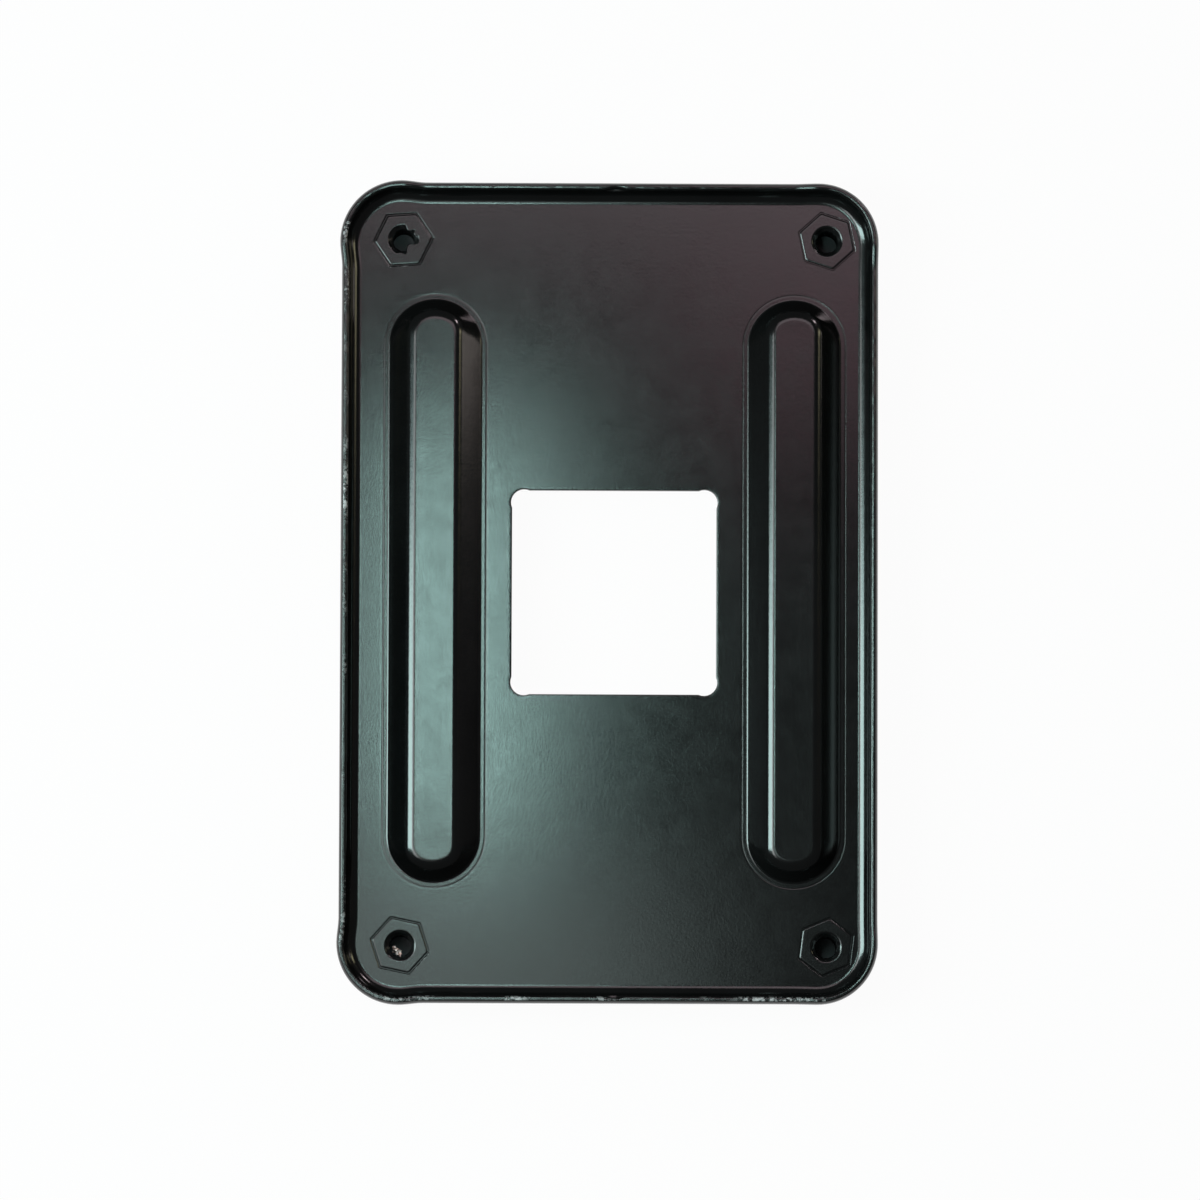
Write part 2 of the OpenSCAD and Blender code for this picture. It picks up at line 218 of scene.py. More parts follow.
class Shell:
    """Rings of points joined by bands of quads and by flat fills into one closed mesh."""

    def __init__(self):
        self.points = []
        self.faces = []
        self.level = set()
        self.worn_highlit = []

    def ring(self, xy, z):
        """Adds a closed ring of points. z is one height or one for each point."""
        first = len(self.points)
        heights = np.broadcast_to(np.asarray(z, float), (len(xy),))
        self.points.extend((x, y, h) for (x, y), h in zip(xy, heights))
        return list(range(first, first + len(xy)))

    def band(self, a, b, worn_highlit=None):
        """Quads from ring a to ring b, which face up where a lies outside b.

        The worn flags say for each quad whether the coating is rubbed off there, bare steel that also
        makes a painted highlight.
        """
        n = len(a)
        for i in range(n):
            j = (i + 1) % n
            if worn_highlit is not None and worn_highlit[i]:
                self.worn_highlit.append(len(self.faces))
            self.faces.append((a[i], a[j], b[j], b[i]))

    def flat(self, outer, holes, up=True):
        """Fills the flat region between one outer ring and the rings of its holes."""
        rings = [outer] + holes
        ids = [i for r in rings for i in r]
        xy = [Vector(self.points[i][:2]) for i in ids]
        edges, start = [], 0
        for r in rings:
            n = len(r)
            edges += [(start + i, start + (i + 1) % n) for i in range(n)]
            start += n
        verts, _, tris, origin, _, _ = delaunay_2d_cdt(xy, edges, [], 0, 1e-7)
        centres = np.array([sum((verts[k] for k in t), Vector((0, 0))) / 3 for t in tris])
        keep = inside(centres, np.array([self.points[i][:2] for i in outer]))
        for h in holes:
            keep &= ~inside(centres, np.array([self.points[i][:2] for i in h]))
        for t, wanted in zip(tris, keep):
            if not wanted:
                continue
            a, b, c = (ids[origin[k][0]] for k in t)
            pa, pb, pc = (self.points[k] for k in (a, b, c))
            turn = (pb[0] - pa[0]) * (pc[1] - pa[1]) - (pb[1] - pa[1]) * (pc[0] - pa[0])
            if abs(turn) < 1e-7:
                continue
            self.level.add(len(self.faces))
            self.faces.append((a, b, c) if (turn > 0) == up else (a, c, b))

    def mesh(self, name, sharp_deg=40):
        """Makes the object. Edges that turn by more than sharp_deg stay sharp."""
        me = bpy.data.meshes.new(name)
        me.from_pydata((np.array(self.points) * MM).tolist(), [], self.faces)
        me.update()
        me.shade_smooth()
        me.normals_split_custom_set(self.corner_normals(me, math.cos(math.radians(sharp_deg))))
        # Faces with rubbed-off coating, a painted highlight as well, take the second material
        for i in self.worn_highlit:
            me.polygons[i].material_index = 1
        obj = bpy.data.objects.new(name, me)
        bpy.context.scene.collection.objects.link(obj)
        return obj

    def corner_normals(self, me, least_cos):
        """A normal for each face corner.

        The level fills stay exactly level, and what joins them softly starts level too. Other
        corners take the mean of the faces round them that turn less than the limit.
        """
        normals = np.array([tuple(p.normal) for p in me.polygons])
        areas = np.array([p.area for p in me.polygons])
        around = [[] for _ in self.points]
        for i, face in enumerate(self.faces):
            for v in face:
                around[v].append(i)
        weighted = normals * areas[:, None]
        out = []
        for i, face in enumerate(self.faces):
            for v in face:
                near = np.array(around[v])
                near = near[normals[near] @ normals[i] > least_cos]
                level = [k for k in near if k in self.level]
                if level:
                    out.append((0.0, 0.0, math.copysign(1.0, normals[level[0]][2])))
                    continue
                total = weighted[near].sum(axis=0)
                size = math.sqrt(total @ total)
                out.append(tuple(total / size) if size > 0 else tuple(normals[i]))
        return out


def inside(points, polygon):
    """Which points lie inside a polygon, by counting the edges that a ray to +X crosses."""
    x, y = points[:, 0][:, None], points[:, 1][:, None]
    x0, y0 = polygon[:, 0], polygon[:, 1]
    x1, y1 = np.roll(x0, -1), np.roll(y0, -1)
    spans = (y0 > y) != (y1 > y)
    with np.errstate(divide="ignore", invalid="ignore"):
        cross = x0 + (y - y0) * (x1 - x0) / (y1 - y0)
    return (spans & (x < cross)).sum(axis=1) % 2 == 1


def smooth(t):
    """Eases from 0 to 1."""
    t = np.clip(t, 0, 1)
    return t * t * (3 - 2 * t)


def wander(s, length, seed, wave):
    """Smooth random values from about -1 to 1 along a closed line of this length."""
    rng = np.random.default_rng(seed)
    out = np.zeros_like(s)
    for octave, weight in enumerate(RIPPLE_SHARES):
        n = max(4, int(length / wave * 2**octave))
        knots = rng.uniform(-1, 1, n)
        t = s / length * n
        i = np.floor(t).astype(int)
        out += weight * (knots[i % n] * (1 - smooth(t - i)) + knots[(i + 1) % n] * smooth(t - i))
    return out / sum(RIPPLE_SHARES)


# ---------------------------------------------------------------- outlines


def rim_path(step=0.5, corner_steps=22):
    """Samples counterclockwise round the rim.

    Each has the centre that it is measured from, its direction outwards, its weight as part of a
    corner, the corner it belongs to and its distance along the rim.
    """
    half_w, half_l = PLATE_W / 2 - CORNER_R, PLATE_L / 2 - CORNER_R
    cx, cy = RIM_CENTRE
    corners = [(half_w, half_l), (-half_w, half_l), (-half_w, -half_l), (half_w, -half_l)]
    rows, travelled = [], 0.0
    for k in range(4):
        a, b = corners[k], corners[(k + 1) % 4]
        start = math.radians(90 * k)
        for i in range(corner_steps):
            ang = start + math.radians(90) * i / corner_steps
            rows.append((a[0] + cx, a[1] + cy, ang, 1.0, k, travelled))
            travelled += CORNER_R * math.radians(90) / corner_steps
        length = math.dist(a, b)
        n = int(round(length / step))
        for i in range(n):
            t = i / n
            near = min(t, 1 - t) * length
            owner = k if t < 0.5 else (k + 1) % 4
            weight = 1 - smooth(near / BULGE_EASE)
            x, y = a[0] + (b[0] - a[0]) * t + cx, a[1] + (b[1] - a[1]) * t + cy
            rows.append((x, y, start + math.radians(90), float(weight), owner, travelled + t * length))
        travelled += length
    table = np.array(rows)
    return {
        "centre": table[:, 0:2],
        "out": np.stack([np.cos(table[:, 2]), np.sin(table[:, 2])], axis=1),
        "corner": table[:, 3],
        "owner": table[:, 4].astype(int),
        "s": table[:, 5],
        "length": travelled,
    }


def inset_at(z, angle, crest_r, foot_r):
    """How far a rib's wall stands in from its foot line at height z above the floor."""
    half = math.tan(angle / 2)
    if z <= foot_r * (1 - math.cos(angle)):
        return math.sqrt(max(0.0, 2 * foot_r * z - z * z))
    if z <= RIB_H - crest_r * (1 - math.cos(angle)):
        return foot_r * half + z / math.tan(angle)
    flat = foot_r * half + RIB_H / math.tan(angle) + crest_r * half
    return flat - math.sqrt(max(0.0, crest_r**2 - (z - RIB_H + crest_r) ** 2))


def rib_outline(side_inset, end_inset):
    """A rib's outline at one height: straight sides that run into round ends by softened corners."""
    a, r = RIB_W / 2 - side_inset, RIB_W / 2 - end_inset
    y0 = (RIB_L - RIB_W) / 2
    corner = math.degrees(math.acos(min(1.0, a / r))) if r > 0 else 0
    soft = min(SOFT_DEG, SOFT_SHARE * corner)

    def at(deg):
        """The outline's point in this direction, before the softening."""
        p = math.radians(deg)
        if deg > 90:
            x, y = at(180 - deg)
            return -x, y
        reach = min(r, a / max(math.cos(p), 1e-9))
        if deg < 0:
            return a, y0 + a * math.tan(p)
        return reach * math.cos(p), y0 + reach * math.sin(p)

    quarter = []
    for i in range(RIB_ARC_STEPS + 1):
        deg = 90 * i / RIB_ARC_STEPS
        spread = [at(deg + soft * k / SOFT_STEPS) for k in range(-SOFT_STEPS, SOFT_STEPS + 1)]
        n = len(spread)
        quarter.append((sum(p[0] for p in spread) / n, sum(p[1] for p in spread) / n))
    quarter[-1] = (0.0, quarter[-1][1])
    half = quarter + [(-x, y) for x, y in reversed(quarter[:-1])]
    top = half[0][1]
    steps = RIB_STRAIGHT_STEPS
    side = [(-half[0][0], top - 2 * top * i / steps) for i in range(1, steps)]
    ring = half + side
    return np.array(ring + [(-x, -y) for x, y in ring])


def placed(xy, x, y, deg=0.0):
    """An outline turned by deg and moved to x, y."""
    c, s = math.cos(math.radians(deg)), math.sin(math.radians(deg))
    return xy @ np.array([[c, s], [-s, c]]) + (x, y)


def hexagon(across_flats):
    """A hexagon with a corner on +X and slightly rounded corners."""
    centre = (across_flats / 2 - HEX_CORNER_R) / math.cos(math.radians(30))
    points = []
    for k in range(6):
        mid = math.radians(60 * k)
        for i in range(HEX_CORNER_STEPS + 1):
            ang = mid + math.radians(60) * (i / HEX_CORNER_STEPS - 0.5)
            x = centre * math.cos(mid) + HEX_CORNER_R * math.cos(ang)
            y = centre * math.sin(mid) + HEX_CORNER_R * math.sin(ang)
            points.append((x, y))
    return np.array(points)


def circle(r, n=72):
    a = np.linspace(0, 2 * math.pi, n, endpoint=False)
    return np.stack([r * np.cos(a), r * np.sin(a)], axis=1)


def window_outline(grow, arc_steps=10):
    """The square window's outline with its relieved corners, grown outwards by grow."""
    reach = WINDOW_W / 2 - WINDOW_R + WINDOW_RELIEF
    r = WINDOW_R + grow
    flat = WINDOW_W / 2 + grow
    # Each corner's arc starts and ends where it crosses the window's sides
    over = math.degrees(math.acos((flat - reach) / r))
    points = []
    for k in range(4):
        turn = math.radians(90 * k)
        c, s = math.cos(turn), math.sin(turn)
        local = []
        for i in range(arc_steps + 1):
            ang = math.radians((90 + 2 * over) * i / arc_steps - over)
            local.append((reach + r * math.cos(ang), reach + r * math.sin(ang)))
        points += [(x * c - y * s, x * s + y * c) for x, y in local]
    return np.array(points)


# ---------------------------------------------------------------- the plate


def add_rim(shell):
    """The bent rim. Returns the innermost ring of the floor's upper face and of its lower face."""
    path = rim_path()
    left = np.isin(path["owner"], (1, 2))
    bulge = path["corner"] * np.where(left, BULGE_LEFT, BULGE_RIGHT)
    rise = path["corner"] * CORNER_RISE

    def ripple(size, seed, wave):
        return size * wander(path["s"], path["length"], seed, wave)

    lip_wave, lip_tilt = ripple(*LIP_WAVE), ripple(*LIP_TILT)
    top = FLOOR_Z + RIM_H + rise - np.abs(ripple(*LIP_DROP))
    nick_x = path["centre"][:, 0]
    on_end = np.abs(path["out"][:, 1]) > 0.999
    nick = np.where(on_end, np.clip(NICK_D * (1 - (nick_x / (NICK_L / 2)) ** 2), 0, None), 0)

    def ring(inward, z):
        reach = CORNER_R + bulge - inward
        xy = path["centre"] + path["out"] * np.asarray(reach).reshape(-1, 1)
        return shell.ring(xy, z)

    outer_r = BEND_R + SHEET_T
    turns = [math.radians(90 * i / BEND_STEPS) for i in range(BEND_STEPS + 1)]
    rings = []
    for a in turns:
        rings.append(ring(outer_r - BEND_R * math.sin(a), FLOOR_Z + BEND_R - BEND_R * math.cos(a)))
    ledge = top - NICK_H
    rings.append(ring(SHEET_T, ledge - NICK_EASE))
    rings.append(ring(SHEET_T - nick, ledge))
    for inward, drop in LIP_RISE:
        rings.append(ring(inward - nick + lip_wave, top - drop))
    worn_highlit_from = len(rings) - 2
    inward, drop = LIP_INNER_TOP
    rings.append(ring(inward - nick + lip_wave, top - drop + lip_tilt))
    inward, drop = LIP_OUTER_TOP
    rings.append(ring(inward + lip_wave * 0.5, top - drop - lip_tilt))
    worn_highlit_to = len(rings) - 1
    for inward, drop in LIP_FALL:
        rings.append(ring(inward, top - drop))
    low_lip = top - LIP_FALL[-1][1]
    for t in WALL_SHARES:
        rings.append(ring(0, low_lip + (UNDER_Z + outer_r - low_lip) * t))
    for a in turns[1:]:
        rings.append(ring(outer_r * (1 - math.cos(a)), UNDER_Z + outer_r - outer_r * math.sin(a)))
    # Where the lip faces the left lamps it is rubbed bare, which is wear and also a painted highlight
    rubbed_highlit = (path["out"] @ RUBBED_HIGHLIT_TOWARDS) > RUBBED_HIGHLIT_LEAST
    for k, (inner, outer) in enumerate(zip(rings, rings[1:])):
        shell.band(outer, inner, rubbed_highlit if worn_highlit_from <= k <= worn_highlit_to else None)
    return rings[0], rings[-1]


def add_rib(shell, x, y):
    """A rib's upper face, from the crease round its foot to its crest. Returns its outer ring."""

    def ring(side_inset, end_inset, z):
        return shell.ring(placed(rib_outline(side_inset, end_inset), x, y), FLOOR_Z + z)

    rings = [ring(-grow, -grow, z) for grow, z in RIB_CREASE]
    for z in RIB_LEVELS:
        side = inset_at(z, SIDE_ANGLE, SIDE_CREST_R, FOOT_R)
        end = inset_at(z, END_ANGLE, END_CREST_R, FOOT_R)
        rings.append(ring(side, end, z))
    side = inset_at(RIB_H, SIDE_ANGLE, SIDE_CREST_R, FOOT_R)
    end = inset_at(RIB_H, END_ANGLE, END_CREST_R, FOOT_R)
    half = RIB_W / 2 - side
    for share in CREST_SHARES:
        step = share * half
        rings.append(ring(side + step, end + step, RIB_H + RIB_CROWN * (1 - (1 - share) ** 2)))
    for outer, inner in zip(rings, rings[1:]):
        shell.band(outer, inner)
    shell.flat(rings[-1], [])
    return rings[0]


def add_rib_hollow(shell, x, y):
    """A rib's hollow on the lower face. Returns its outer ring."""
    foot_r = FOOT_R + SHEET_T
    margin = rib_outline(-HOLLOW_MARGIN, -HOLLOW_MARGIN)
    rings = [shell.ring(placed(margin, x, y), UNDER_Z)]
    for z in HOLLOW_LEVELS:
        side = inset_at(z, SIDE_ANGLE, HOLLOW_SIDE_R, foot_r)
        end = inset_at(z, END_ANGLE, HOLLOW_END_R, foot_r)
        rings.append(shell.ring(placed(rib_outline(side, end), x, y), UNDER_Z + z))
    for outer, inner in zip(rings, rings[1:]):
        shell.band(inner, outer)
    shell.flat(rings[-1], [], up=False)
    return rings[0]


def add_pocket(shell, x, y, turn, edge, rubbed_highlit):
    """The seat of one standoff. Returns the ring on the floor's upper face and on its lower face.

    edge is how far the groove round the head eases into the floor.
    """
    groove_af = HEAD_AF + 2 * GROOVE_W

    def hexa(grow, z):
        return shell.ring(placed(hexagon(groove_af + 2 * grow), x, y, turn), z)

    rings = [hexa(share * edge, FLOOR_Z + z) for share, z in GROOVE_SECTION]
    rings.append(hexa(PRESS_GAP - GROOVE_W, FLOOR_Z - GROOVE_D))
    rings.append(hexa(PRESS_GAP - GROOVE_W, FLOOR_Z - HEAD_T))
    outline = hexagon(groove_af)
    along = np.degrees(np.arctan2(outline[:, 1], outline[:, 0])) + turn
    # The rubbed sides are bare steel and a painted highlight as well
    worn_highlit = np.zeros(len(outline), bool)
    for centre, half in rubbed_highlit:
        worn_highlit |= np.abs((along - centre + 180) % 360 - 180) < half
    for k, (outer, inner) in enumerate(zip(rings, rings[1:])):
        shell.band(outer, inner, worn_highlit if k < GROOVE_WORN_HIGHLIT_BANDS else None)
    section = (
        (0, FLOOR_Z - HEAD_T),
        (0, UNDER_Z + BORE_EDGE),
        (BORE_EDGE, UNDER_Z),
        (BORE_MARGIN, UNDER_Z),
    )
    bore = [
        shell.ring(placed(circle(BARREL_R + PRESS_GAP + grow), x, y, turn), z) for grow, z in section
    ]
    shell.flat(rings[-1], [bore[0]])
    for upper, lower in zip(bore, bore[1:]):
        shell.band(upper, lower)
    return rings[0], bore[-1]


def add_window(shell):
    """The window's cut edge. Returns the ring on the floor's upper face and on its lower face."""
    r, ease = WINDOW_EDGE_R, WINDOW_EDGE_EASE
    steps = [(WINDOW_MARGIN_ABOVE, 0.0), (r + ease, 0.0)]
    for a in map(math.radians, WINDOW_EDGE_ANGLES):
        steps.append((r * (1 - math.sin(a)), -r * (1 - math.cos(a))))
    steps += [(0.0, -SHEET_T / 2), (0.0, ease - SHEET_T), (ease, -SHEET_T)]
    steps.append((WINDOW_MARGIN_BELOW, -SHEET_T))
    rings = [shell.ring(window_outline(grow), FLOOR_Z + z) for grow, z in steps]
    for outer, inner in zip(rings, rings[1:]):
        shell.band(outer, inner)
    return rings[0], rings[-1]


def build_plate():
    """The stamped plate: its rim, ribs, pockets and window, joined by the floor's two faces."""
    shell = Shell()
    floor_ring, under_ring = add_rim(shell)
    upper, lower = [], []
    for x in (-RIB_X, RIB_X):
        upper.append(add_rib(shell, x, RIB_SHIFT_Y))
        lower.append(add_rib_hollow(shell, x, RIB_SHIFT_Y))
    for name, (x, y, turn) in STANDOFFS.items():
        edge = GROOVE_EDGE_LEFT if x < 0 else GROOVE_EDGE_RIGHT
        a, b = add_pocket(shell, x, y, turn, edge, RUBBED_HIGHLIT_SIDES[name])
        upper.append(a)
        lower.append(b)
    a, b = add_window(shell)
    upper.append(a)
    lower.append(b)
    shell.flat(floor_ring, upper)
    shell.flat(under_ring, lower, up=False)
    return shell.mesh("stamped_plate")


# ---------------------------------------------------------------- the standoffs


def thread_radius(theta, z):
    """Radius of the threaded hole's wall, with rounded crests and roots."""
    phase = (z / THREAD_PITCH - theta / (2 * math.pi)) % 1.0
    flank = np.abs(phase - 0.5) * 2
    depth = np.clip((flank - THREAD_CREST) / THREAD_FLANK, 0, 1)
    return THREAD_MINOR_R + (THREAD_MAJOR_R - THREAD_MINOR_R) * depth


def clogged_mouth(theta):
    """Share of the mouth's radius that is left open in each direction."""
    open_share = np.ones_like(theta)
    for centre, width, depth in CLOGS:
        off = (np.degrees(theta) - centre + 180) % 360 - 180
        open_share -= depth * np.exp(-((off / width) ** 4))
    return open_share


def add_head(shell, x, y, turn):
    """A standoff's hexagonal head. Returns the ring on its top and the ring at its lower edge."""
    rings = [
        shell.ring(placed(hexagon(HEAD_AF + 2 * grow), x, y, turn), FLOOR_Z + z)
        for grow, z in (*HEAD_EDGE, (0, -HEAD_T))
    ]
    for inner, outer in zip(rings, rings[1:]):
        shell.band(outer, inner)
    return rings[0], rings[-1]


def add_mouth(shell, head_top, polar, share, clogged):
    """The edge of a standoff's hole in its head. Returns its lowest ring."""
    rings = [polar((MOUTH_R + grow) * share, FLOOR_Z + z) for grow, z in MOUTH_EDGE]
    shell.flat(head_top, [rings[0]])
    if clogged:
        inward, depth = CLOG_EDGE
        rings.append(polar((MOUTH_R - inward) * share, FLOOR_Z - depth))
        inward, depth = CLOG_UNDER
        rings.append(polar(MOUTH_R - inward, FLOOR_Z - depth))
    for outer, inner in zip(rings, rings[1:]):
        shell.band(outer, inner)
    return rings[-1]


def add_bore(shell, theta, polar, mouth, top):
    """A standoff's threaded hole, which widens at both ends. Returns its lowest ring."""
    bottom = -BARREL_REACH
    slope = (MOUTH_R - THREAD_MINOR_R) / MOUTH_DEPTH

    def ring(z):
        cone = MOUTH_R - min(FLOOR_Z - z, z - bottom) * slope
        return polar(np.minimum(np.maximum(thread_radius(theta, z), cone), MOUTH_R), z)

    count = int((FLOOR_Z - bottom) / THREAD_PITCH * THREAD_ROWS)
    rings = [ring(z) for z in np.linspace(top, bottom + MOUTH_LAND, count)]
    shell.band(mouth, rings[0])
    for upper, lower in zip(rings, rings[1:]):
        shell.band(upper, lower)
    return rings[-1]


def add_barrel(shell, x, y, head_edge, bore_end):
    """A standoff's barrel, from the underside of its head to its bevelled end."""
    bottom = -BARREL_REACH
    section = (
        (BARREL_R, FLOOR_Z - HEAD_T),
        (BARREL_R, bottom + TIP_BEVEL),
        (BARREL_R - TIP_BEVEL, bottom),
        (MOUTH_R + MOUTH_LAND, bottom),
    )
    rings = [shell.ring(placed(circle(r, AROUND), x, y), z) for r, z in section]
    shell.flat(head_edge, [rings[0]], up=False)
    for upper, lower in zip(rings, rings[1:]):
        shell.band(lower, upper)
    shell.band(bore_end, rings[-1])


def build_standoff(name, x, y, turn, clogged):
    """One standoff, with coating that has run into its mouth where clogged is set."""
    shell = Shell()
    theta = np.linspace(0, 2 * math.pi, AROUND, endpoint=False)
    share = clogged_mouth(theta) if clogged else np.ones_like(theta)

    def polar(r, z):
        return shell.ring(np.stack([x + r * np.cos(theta), y + r * np.sin(theta)], axis=1), z)

    head_top, head_edge = add_head(shell, x, y, turn)
    mouth = add_mouth(shell, head_top, polar, share, clogged)
    top = FLOOR_Z - (CLOGGED_BORE_TOP if clogged else BORE_TOP)
    bore_end = add_bore(shell, theta, polar, mouth, top)
    add_barrel(shell, x, y, head_edge, bore_end)
    return shell.mesh("threaded_" + name)


def build_burrs(x, y):
    """Bare burrs that hang in the front left hole."""
    rng = np.random.default_rng(BURR_SEED)
    shell = Shell()
    for _ in range(BURR_COUNT):
        ang = math.radians(rng.uniform(*BURR_ARC))
        out = rng.uniform(*BURR_OUT)
        z = BURR_Z + rng.uniform(*BURR_SPREAD_Z)
        centre = np.array((x + out * math.cos(ang), y + out * math.sin(ang), z))
        size = rng.uniform(*BURR_SIZE)
        points = rng.normal(size=(BURR_POINTS, 3))
        points /= np.linalg.norm(points, axis=1)[:, None]
        first = len(shell.points)
        shell.points.extend(map(tuple, centre + points * size * BURR_FLATTEN))
        hull = bmesh.new()
        for q in points:
            hull.verts.new(q)
        bmesh.ops.convex_hull(hull, input=hull.verts)
        hull.verts.index_update()
        shell.faces += [tuple(first + v.index for v in f.verts) for f in hull.faces]
        hull.free()
    return shell.mesh("bare_burrs", sharp_deg=20)


# ---------------------------------------------------------------- materials


class Nodes:
    """Short calls for building one material's node tree."""

    def __init__(self, name):
        self.material = bpy.data.materials.new(name)
        self.material.use_nodes = True
        self.tree = self.material.node_tree
        self.tree.nodes.clear()
        self.out = self.add("ShaderNodeOutputMaterial")

    def add(self, kind, inputs=None, **settings):
        """A new node with these inputs, each a value or another node's output."""
        node = self.tree.nodes.new(kind)
        for k, v in settings.items():
            setattr(node, k, v)
        for k, v in (inputs or {}).items():
            self.feed(node.inputs[k], v)
        return node

    def feed(self, socket, value):
        if isinstance(value, bpy.types.NodeSocket):
            self.tree.links.new(value, socket)
        else:
            socket.default_value = value

    def noise(self, scale, detail=2.0, rough=0.5):
        """Noise in the object's own coordinates. scale is in waves to a metre."""
        where = self.add("ShaderNodeTexCoord").outputs["Object"]
        inputs = {"Vector": where, "Scale": scale, "Detail": detail, "Roughness": rough}
        return self.add("ShaderNodeTexNoise", inputs).outputs["Fac"]

    def ramp(self, value, stops):
        """Maps a value through stops of (position, grey or colour)."""
        n = self.add("ShaderNodeValToRGB", {"Fac": value})
        while len(n.color_ramp.elements) < len(stops):
            n.color_ramp.elements.new(0.5)
        for e, (pos, c) in zip(n.color_ramp.elements, stops):
            e.position = pos
            e.color = (c, c, c, 1) if isinstance(c, (int, float)) else (*c, 1)
        return n.outputs["Color"]

    def math(self, op, a, b=0.0):
        n = self.add("ShaderNodeMath", operation=op)
        self.feed(n.inputs[0], a)
        self.feed(n.inputs[1], b)
        return n.outputs["Value"]

    def bump(self, height, distance, strength, normal=None):
        inputs = {"Height": height, "Distance": distance, "Strength": strength}
        if normal is not None:
            inputs["Normal"] = normal
        return self.add("ShaderNodeBump", inputs).outputs["Normal"]

    def mix(self, share, a, b):
        """The colour between a and b at this share."""
        return self.add("ShaderNodeMix", {0: share, 6: a, 7: b}, data_type="RGBA").outputs[2]

    def surface(self, inputs):
        """Ends the material in a Principled shader with these inputs."""
        shader = self.add("ShaderNodeBsdfPrincipled", inputs)
        self.feed(self.out.inputs["Surface"], shader.outputs["BSDF"])
        return self.material


def coated_steel(name, rough):
    """Satin black coating over stamped steel, with fine orange peel, faint waves and clouds."""
    n = Nodes(name)
    normal = None
    for scale, noise_rough, depth, strength in RELIEF:
        normal = n.bump(n.noise(scale, 2.0, noise_rough), depth, strength, normal)
    dark, light = (tuple(c * share for c in BLACK) for share in (DARKER, LIGHTER))
    return n.surface(
        {
            "Base Color": n.ramp(n.noise(60, 4.0, 0.6), [(0.35, dark), (0.65, light)]),
            "Roughness": n.ramp(n.noise(420, 4.0, 0.65), [(0.3, rough - 0.015), (0.7, rough + 0.02)]),
            "Normal": normal,
            "IOR": COATING_IOR,
        }
    )


def worn_highlit_steel():
    """The coating where it is rubbed through to the steel in short blotches, bare steel that also
    makes painted highlights where it faces the lamps.
    """
    n = Nodes("worn_highlit_edge")
    blotch = n.ramp(n.noise(1900, 3.0, 0.6), [(0.47, 0.0), (0.6, 1.0)])
    stretch = n.ramp(n.noise(100, 2.0, 0.5), [(0.5, 0.0), (0.6, 0.8)])
    # The blotches of bare steel are wear and also a painted highlight
    bare = n.math("MULTIPLY", blotch, stretch)
    roughness = n.math("MULTIPLY_ADD", bare, 0.4)
    roughness.node.inputs[2].default_value = WORN_HIGHLIT_ROUGH
    return n.surface(
        {
            "Base Color": n.mix(bare, (*BLACK, 1), BARE_GREY_HIGHLIGHT),
            "Roughness": roughness,
            "Metallic": bare,
            "Normal": n.bump(n.noise(7000, 3.0, 0.7), 0.000012, 0.6),
            "IOR": COATING_IOR,
        }
    )


def bare_metal():
    """Coppery bare metal of the burrs."""
    n = Nodes("bare_metal")
    grain = n.noise(6000, 3.0, 0.6)
    copper, pale = (0.8, 0.5, 0.42), (1.0, 0.9, 0.86)
    return n.surface(
        {
            "Base Color": n.ramp(n.noise(2500, 2.0, 0.5), [(0.4, copper), (0.6, pale)]),
            "Roughness": n.ramp(grain, [(0.3, 0.38), (0.7, 0.55)]),
            "Normal": n.bump(grain, 0.00001, 0.6),
            "Metallic": 0.6,
        }
    )


def film_material():
    """Matte black insulating film."""
    n = Nodes("insulating_film")
    grain = n.noise(3500, 3.0, 0.6)
    dark, light = (0.012, 0.012, 0.013), (0.02, 0.02, 0.021)
    return n.surface(
        {
            "Base Color": n.ramp(n.noise(90, 4.0, 0.6), [(0.3, dark), (0.7, light)]),
            "Roughness": n.ramp(grain, [(0.3, 0.55), (0.7, 0.68)]),
            "Normal": n.bump(grain, 0.00001, 0.5),
            "IOR": FILM_IOR,
        }
    )


def outside_barrels(n):
    """1 on the floor outside the four barrels' ends, and 0 under them, where light comes only
    down the bores and where the floor is painted a darker grey as painted shade."""
    place = n.add("ShaderNodeSeparateXYZ", {"Vector": n.add("ShaderNodeTexCoord").outputs["Object"]})
    off_x = n.math("SUBTRACT", n.math("ABSOLUTE", place.outputs["X"]), HOLE_X * MM)
    off_y = n.math("SUBTRACT", n.math("ABSOLUTE", place.outputs["Y"]), HOLE_Y * MM)
    square = n.math("ADD", n.math("MULTIPLY", off_x, off_x), n.math("MULTIPLY", off_y, off_y))
    return n.math("GREATER_THAN", n.math("SQRT", square), BARREL_R * MM)


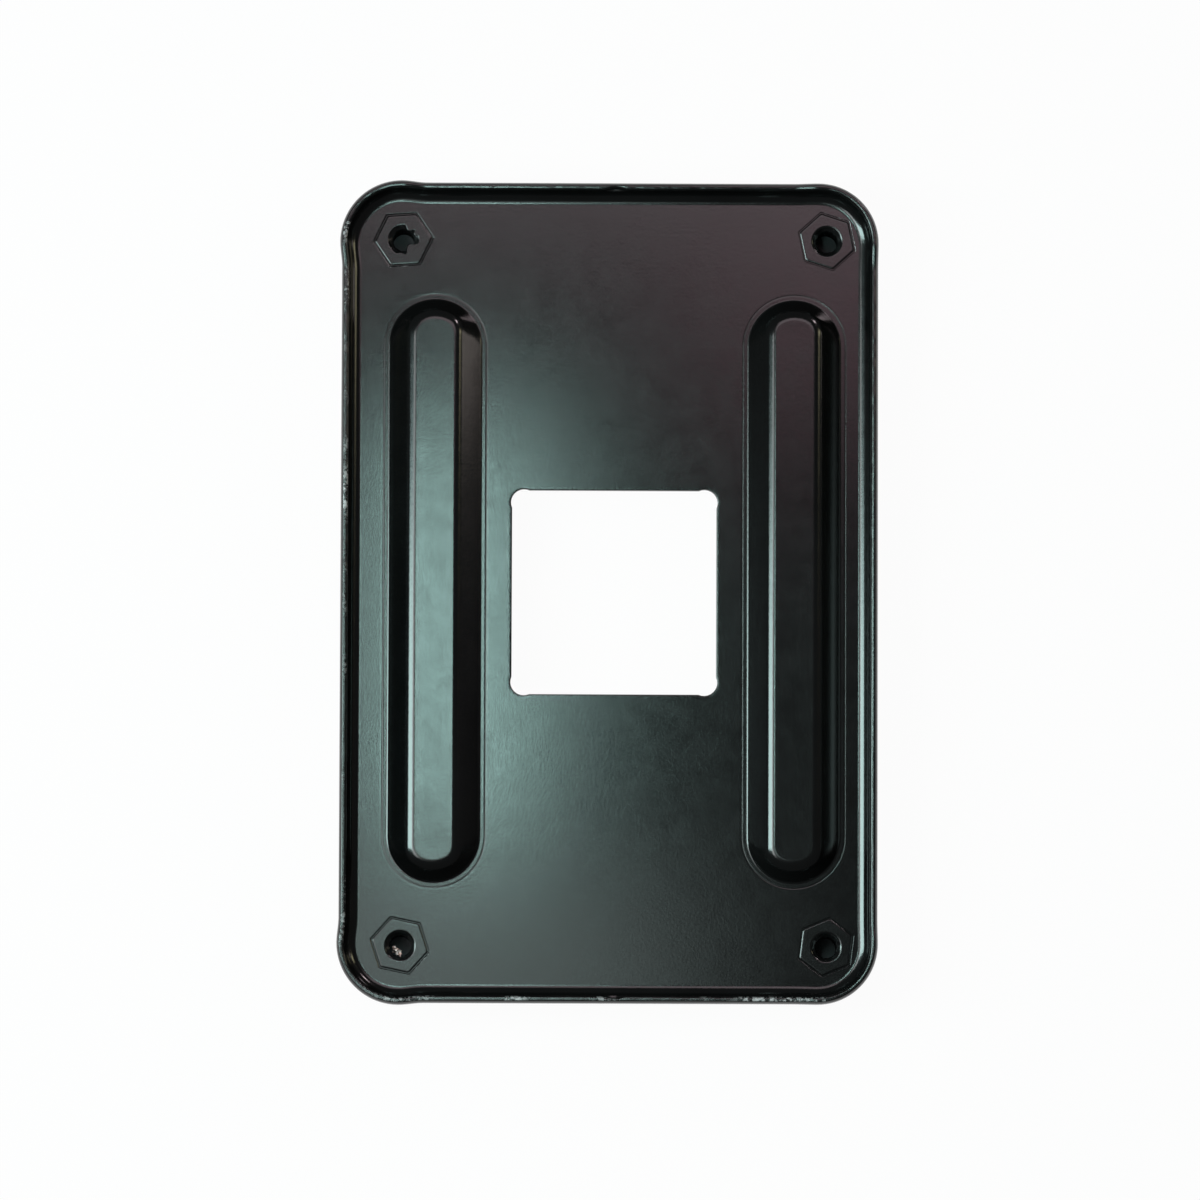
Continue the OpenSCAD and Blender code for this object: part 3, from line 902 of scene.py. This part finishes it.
def floor_material():
    """Pale floor that shows near white to the camera and in reflections, and keeps the shadow.
    Under the barrels' ends it is painted a darker grey, a painted shade.
    """
    n = Nodes("pale_floor")
    path = n.add("ShaderNodeLightPath")
    seen = n.math("MAXIMUM", path.outputs["Is Camera Ray"], path.outputs["Is Glossy Ray"])
    seen = n.math("MAXIMUM", seen, path.outputs["Is Transmission Ray"])
    pale = n.ramp(n.noise(3.0, 2.0, 0.5), [(0.3, 0.78), (0.7, 0.8)])
    outside = outside_barrels(n)
    # Under the barrels' ends the floor is painted darker grey, a painted shade
    matte = n.add("ShaderNodeBsdfDiffuse", {"Color": n.mix(outside, UNDER_BARREL_PAINTED_SHADE, pale)})
    glow = n.add("ShaderNodeEmission", {"Color": (1, 1, 1, 1), "Strength": 1.0})
    share = n.math("MULTIPLY", n.math("MULTIPLY", seen, FLOOR_GLOW), outside)
    mixed = n.add(
        "ShaderNodeMixShader", {0: share, 1: matte.outputs["BSDF"], 2: glow.outputs["Emission"]}
    )
    clear = n.add("ShaderNodeBsdfTransparent")
    back = n.add("ShaderNodeNewGeometry").outputs["Backfacing"]
    whole = n.add(
        "ShaderNodeMixShader", {0: back, 1: mixed.outputs["Shader"], 2: clear.outputs["BSDF"]}
    )
    n.feed(n.out.inputs["Surface"], whole.outputs["Shader"])
    return n.material


# ---------------------------------------------------------------- scene


def dress(obj, material, node=None):
    """Gives a piece its material and the solid that it stands for."""
    if obj.data.materials:
        obj.data.materials.clear()
    obj.data.materials.append(material)
    if node:
        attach(obj, "root")
        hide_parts(node)


def add_floor():
    h, z = FLOOR_HALF, -BARREL_REACH * MM
    me = bpy.data.meshes.new("studio_floor")
    me.from_pydata([(-h, -h, z), (h, -h, z), (h, h, z), (-h, h, z)], [], [(0, 1, 2, 3)])
    me.update()
    obj = bpy.data.objects.new("studio_floor", me)
    bpy.context.scene.collection.objects.link(obj)
    me.materials.append(floor_material())


def add_camera():
    """The photograph's camera."""
    x, y, z = (
        Matrix.Rotation(math.radians(a), 3, axis) for a, axis in zip(CAMERA_TILT, "XYZ")
    )
    back = (z @ y @ x).transposed()
    seat = back @ Vector(CAMERA_SEAT)
    data = bpy.data.cameras.new("camera")
    data.sensor_width = SENSOR_W
    data.lens = PIXELS_PER_MM * CAMERA_SEAT[2] * SENSOR_W / PHOTO_SIZE
    data.clip_start, data.clip_end = CLIP
    cam = bpy.data.objects.new("camera", data)
    bpy.context.scene.collection.objects.link(cam)
    world = back.to_4x4()
    world.translation = (seat + Vector((0, 0, FLOOR_Z))) * MM
    cam.matrix_world = world
    bpy.context.scene.camera = cam


def add_light(name, place, target, size, radiance, colour):
    """A rectangular soft lamp that faces its target. radiance is the brightness of its face."""
    data = bpy.data.lights.new(name, "AREA")
    data.shape = "RECTANGLE"
    data.size, data.size_y = size
    data.energy = radiance * math.pi * size[0] * size[1]
    data.color = colour
    obj = bpy.data.objects.new(name, data)
    bpy.context.scene.collection.objects.link(obj)
    obj.location = place
    obj.rotation_euler = (Vector(target) - Vector(place)).to_track_quat("-Z", "Y").to_euler()


def add_lights():
    """Soft lamps at the sides and overhead."""
    height = FLOOR_Z * MM
    for name, place, (x, y), size, radiance, colour in SIDE_LAMPS:
        add_light(name, place, (x, y, height), size, radiance, colour)
    for name, (x, y, z), size, radiance, colour in OVERHEAD_LAMPS:
        add_light(name, (x, y, z + height), (x, y, 0), size, radiance, colour)


def add_world():
    world = bpy.data.worlds.new("studio")
    world.use_nodes = True
    background = world.node_tree.nodes["Background"]
    background.inputs["Color"].default_value = WORLD_GREY
    background.inputs["Strength"].default_value = 1.0
    bpy.context.scene.world = world


def main():
    steel = coated_steel("coated_steel", PLATE_ROUGH)
    standoff_steel = coated_steel("standoff_steel", STANDOFF_ROUGH)
    plate = build_plate()
    dress(plate, steel, "backplate")
    # Second material: rubbed-off coating, which is also a painted highlight
    plate.data.materials.append(worn_highlit_steel())
    for name, (x, y, turn) in STANDOFFS.items():
        piece = build_standoff(name, x, y, turn, clogged=name == "standoff_rear_left")
        dress(piece, standoff_steel, name)
    x, y, _ = STANDOFFS["standoff_front_left"]
    burrs = build_burrs(x, y)
    dress(burrs, bare_metal())
    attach(burrs, "root")
    dress(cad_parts["insulating_sheet"], film_material())
    add_floor()
    add_camera()
    add_world()
    add_lights()
    bpy.context.scene.view_settings.view_transform = "Standard"


main()
